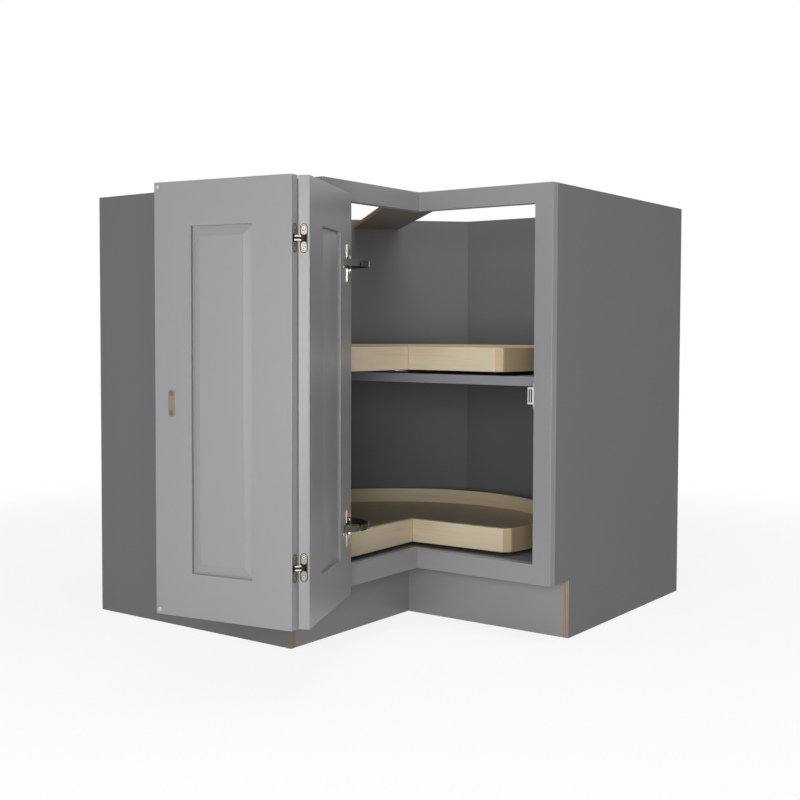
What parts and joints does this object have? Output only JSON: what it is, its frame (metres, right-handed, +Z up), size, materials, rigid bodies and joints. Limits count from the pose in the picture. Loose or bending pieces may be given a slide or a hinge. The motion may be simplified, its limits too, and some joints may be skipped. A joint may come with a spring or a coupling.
{
  "type": "corner carousel base cabinet",
  "caption": "Corner base cabinet with pie-cut wooden carousel trays on turning bearings and a folding two-leaf door hung on one side.",
  "frame": {"origin": "on the floor at the foot of the diagonal back panel, half way along it and in the middle of its thickness", "axes": "+Y points at the rear wall the right leg stands against, -X at the left wall the left leg stands against, +Z up"},
  "size_m": [0.9144, 1.2015, 0.8763],
  "materials": {
    "grey_paint": "satin grey paint on hardwood",
    "grey_film": "matt dark grey film on plywood, raw brown cut edges",
    "pale_birch": "satin clear lacquer on pale birch",
    "nickel_steel": "bright nickel plate",
    "white_plastic": "white moulded plastic",
    "soft_bumper": "clear soft bumper"
  },
  "bodies": {
    "carcass": {"right_side_panel": "grey_film", "left_side_panel": "grey_film", "rear_back_panel": "grey_film", "left_back_panel": "grey_film", "diagonal_back_panel": "grey_film", "cabinet_floor": "grey_film", "fixed_shelf": "grey_paint", "right_toe_board": "grey_paint", "left_toe_board": "grey_paint", "right_frame_stile": "grey_paint", "left_frame_stile": "grey_paint", "right_bottom_rail": "grey_paint", "left_bottom_rail": "grey_paint", "right_top_rail": "grey_paint", "left_top_rail": "grey_paint", "top_corner_brace": "grey_film", "lower_hinge_arm": "nickel_steel", "upper_hinge_arm": "nickel_steel", "catch_housing": "white_plastic", "lower_bearing_base": "nickel_steel", "upper_bearing_base": "nickel_steel"},
    "hinged_leaf": {"hinged_leaf_outer_stile": "grey_paint", "hinged_leaf_fold_stile": "grey_paint", "hinged_leaf_bottom_rail": "grey_paint", "hinged_leaf_top_rail": "grey_paint", "hinged_leaf_panel": "grey_paint", "lower_hinge_cup": "nickel_steel", "upper_hinge_cup": "nickel_steel", "lower_fold_hinge_hinged_half": "nickel_steel", "upper_fold_hinge_hinged_half": "nickel_steel"},
    "free_leaf": {"free_leaf_outer_stile": "grey_paint", "free_leaf_fold_stile": "grey_paint", "free_leaf_bottom_rail": "grey_paint", "free_leaf_top_rail": "grey_paint", "free_leaf_panel": "grey_paint", "lower_fold_hinge_free_half": "nickel_steel", "upper_fold_hinge_free_half": "nickel_steel", "strike_plate": "nickel_steel", "lower_door_bumper": "soft_bumper", "upper_door_bumper": "soft_bumper"},
    "first_hinge_links": {"lower_hinge_first_link": "nickel_steel", "upper_hinge_first_link": "nickel_steel"},
    "second_hinge_links": {"lower_hinge_second_link": "nickel_steel", "upper_hinge_second_link": "nickel_steel"},
    "third_hinge_links": {"lower_hinge_third_link": "nickel_steel", "upper_hinge_third_link": "nickel_steel"},
    "fold_links": {"lower_fold_hinge_link": "nickel_steel", "upper_fold_hinge_link": "nickel_steel"},
    "catch_float": {"catch_magnet": "nickel_steel"},
    "lower_tray": {"lower_bearing_top": "nickel_steel", "lower_tray_floor": "pale_birch", "lower_tray_rim": "pale_birch", "lower_tray_right_board": "pale_birch", "lower_tray_left_board": "pale_birch"},
    "upper_tray": {"upper_bearing_top": "nickel_steel", "upper_tray_floor": "pale_birch", "upper_tray_rim": "pale_birch", "upper_tray_right_board": "pale_birch", "upper_tray_left_board": "pale_birch"}
  },
  "joints": [
    {"name": "door_swing", "type": "hinge", "parent": "carcass", "child": "hinged_leaf", "pos_m": [0.45741, -0.72021, 0.4796], "axis": [0, 0, -1], "range_deg": [-156.23, 13.77]},
    {"name": "leaf_fold", "type": "hinge", "parent": "hinged_leaf", "child": "free_leaf", "pos_m": [0.56604, -0.96177, 0.4796], "axis": [0, 0, -1], "range_deg": [-14.57, 45]},
    {"name": "first_link_turn", "type": "hinge", "parent": "carcass", "child": "first_hinge_links", "pos_m": [0.45741, -0.72021, 0.4796], "axis": [0, 0, -1], "range_deg": [-39.1, 3.5]},
    {"name": "second_link_turn", "type": "hinge", "parent": "carcass", "child": "second_hinge_links", "pos_m": [0.45741, -0.72021, 0.4796], "axis": [0, 0, -1], "range_deg": [-78.2, 6.9]},
    {"name": "third_link_turn", "type": "hinge", "parent": "carcass", "child": "third_hinge_links", "pos_m": [0.45741, -0.72021, 0.4796], "axis": [0, 0, -1], "range_deg": [-117.2, 10.4]},
    {"name": "fold_link_turn", "type": "hinge", "parent": "hinged_leaf", "child": "fold_links", "pos_m": [0.56604, -0.96177, 0.4796], "axis": [0, 0, -1], "range_deg": [-7.3, 22.6]},
    {"name": "lower_tray_turn", "type": "hinge", "parent": "carcass", "child": "lower_tray", "pos_m": [0.26851, -0.26851, 0.1532], "axis": [0, 0, 1], "range_deg": [-360, 360]},
    {"name": "upper_tray_turn", "type": "hinge", "parent": "carcass", "child": "upper_tray", "pos_m": [0.26851, -0.26851, 0.5163], "axis": [0, 0, 1], "range_deg": [-360, 360]},
    {"name": "magnet_float", "type": "slide", "parent": "carcass", "child": "catch_float", "axis": [0, 1, 0], "range_m": [0, 0.0015]}
  ],
  "couplings": [
    {"joint": "first_link_turn", "follows": "door_swing", "ratio": 0.25},
    {"joint": "second_link_turn", "follows": "door_swing", "ratio": 0.5},
    {"joint": "third_link_turn", "follows": "door_swing", "ratio": 0.75},
    {"joint": "fold_link_turn", "follows": "leaf_fold", "ratio": 0.5}
  ]
}
